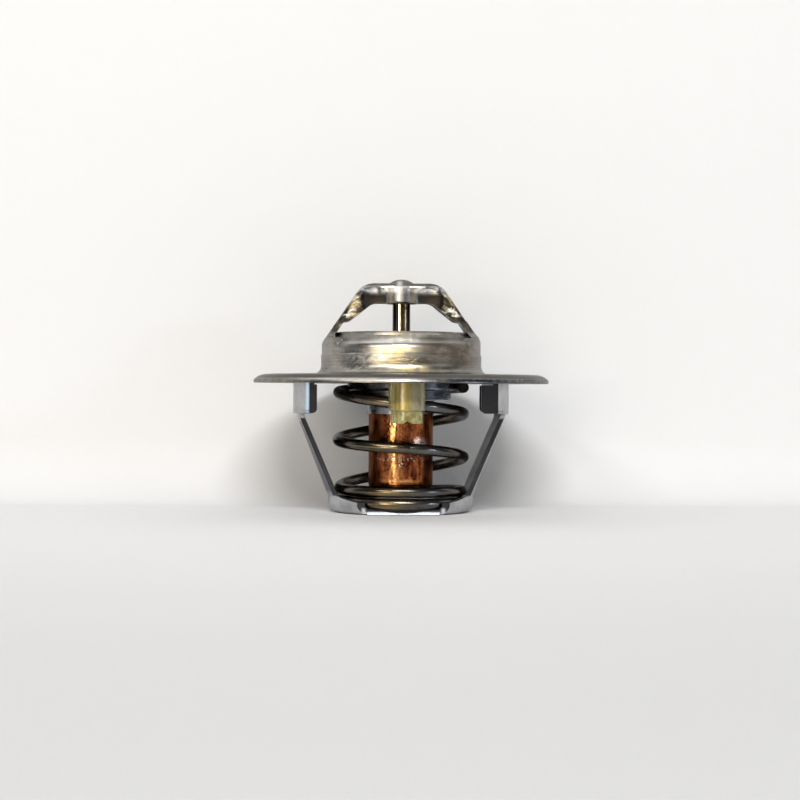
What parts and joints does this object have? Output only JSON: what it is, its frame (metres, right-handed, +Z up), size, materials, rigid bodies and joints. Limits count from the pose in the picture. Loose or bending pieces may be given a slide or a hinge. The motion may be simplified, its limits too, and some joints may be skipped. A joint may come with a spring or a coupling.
{
  "type": "engine coolant thermostat",
  "caption": "Wax-element engine thermostat: round flange, short neck under an arched bridge, coil spring in a stirrup frame, copper wax cup and amber bleed valve.",
  "frame": {"origin": "centre of the underside of the base plate of the lower frame, on the pin's axis", "axes": "+Z up along the pin towards the bridge, +X and -X through the frame's legs, -Y towards the bleed valve"},
  "size_m": [0.054, 0.054, 0.0426],
  "materials": {
    "stainless_sheet": "satin stamped stainless steel, lightly stained",
    "frame_sheet": "satin stamped stainless steel",
    "pin_steel": "ground and polished stainless steel",
    "spring_wire": "drawn stainless spring wire, dull and slightly bronzed",
    "plate_steel": "stamped stainless steel",
    "guide_steel": "stamped stainless steel",
    "ring_steel": "spring steel",
    "guide_brass": "turned brass",
    "collar_steel": "rolled stainless ring",
    "cup_copper": "drawn copper, bright",
    "white_polymer": "plain PTFE",
    "black_rubber": "moulded rubber",
    "wax": "filled paraffin wax",
    "seal_rubber": "moulded rubber",
    "washer_steel": "thin steel washer",
    "amber_plastic": "translucent amber moulding",
    "ball_steel": "polished steel"
  },
  "bodies": {
    "frame": {"seat_housing": "stainless_sheet", "lower_frame": "frame_sheet", "piston_pin": "pin_steel", "main_spring": "spring_wire", "bleed_housing": "amber_plastic"},
    "valve": {"valve_plate": "plate_steel", "spring_guide": "guide_steel", "retaining_ring": "ring_steel", "element_guide": "guide_brass", "element_collar": "collar_steel", "wax_cup": "cup_copper", "backup_ring": "white_polymer", "rubber_sleeve": "black_rubber", "wax_charge": "wax", "pin_seal": "seal_rubber", "seal_washer": "washer_steel"},
    "ball": {"bleed_ball": "ball_steel"}
  },
  "joints": [
    {"name": "valve_lift", "type": "slide", "parent": "frame", "child": "valve", "axis": [0, 0, -1], "range_m": [0, 0.008], "stiffness_N_per_m": 3500, "deforming": ["main_spring"]},
    {"name": "bleed_ball_lift", "type": "slide", "parent": "frame", "child": "ball", "axis": [0, 0, 1], "range_m": [0, 0.0015]}
  ]
}
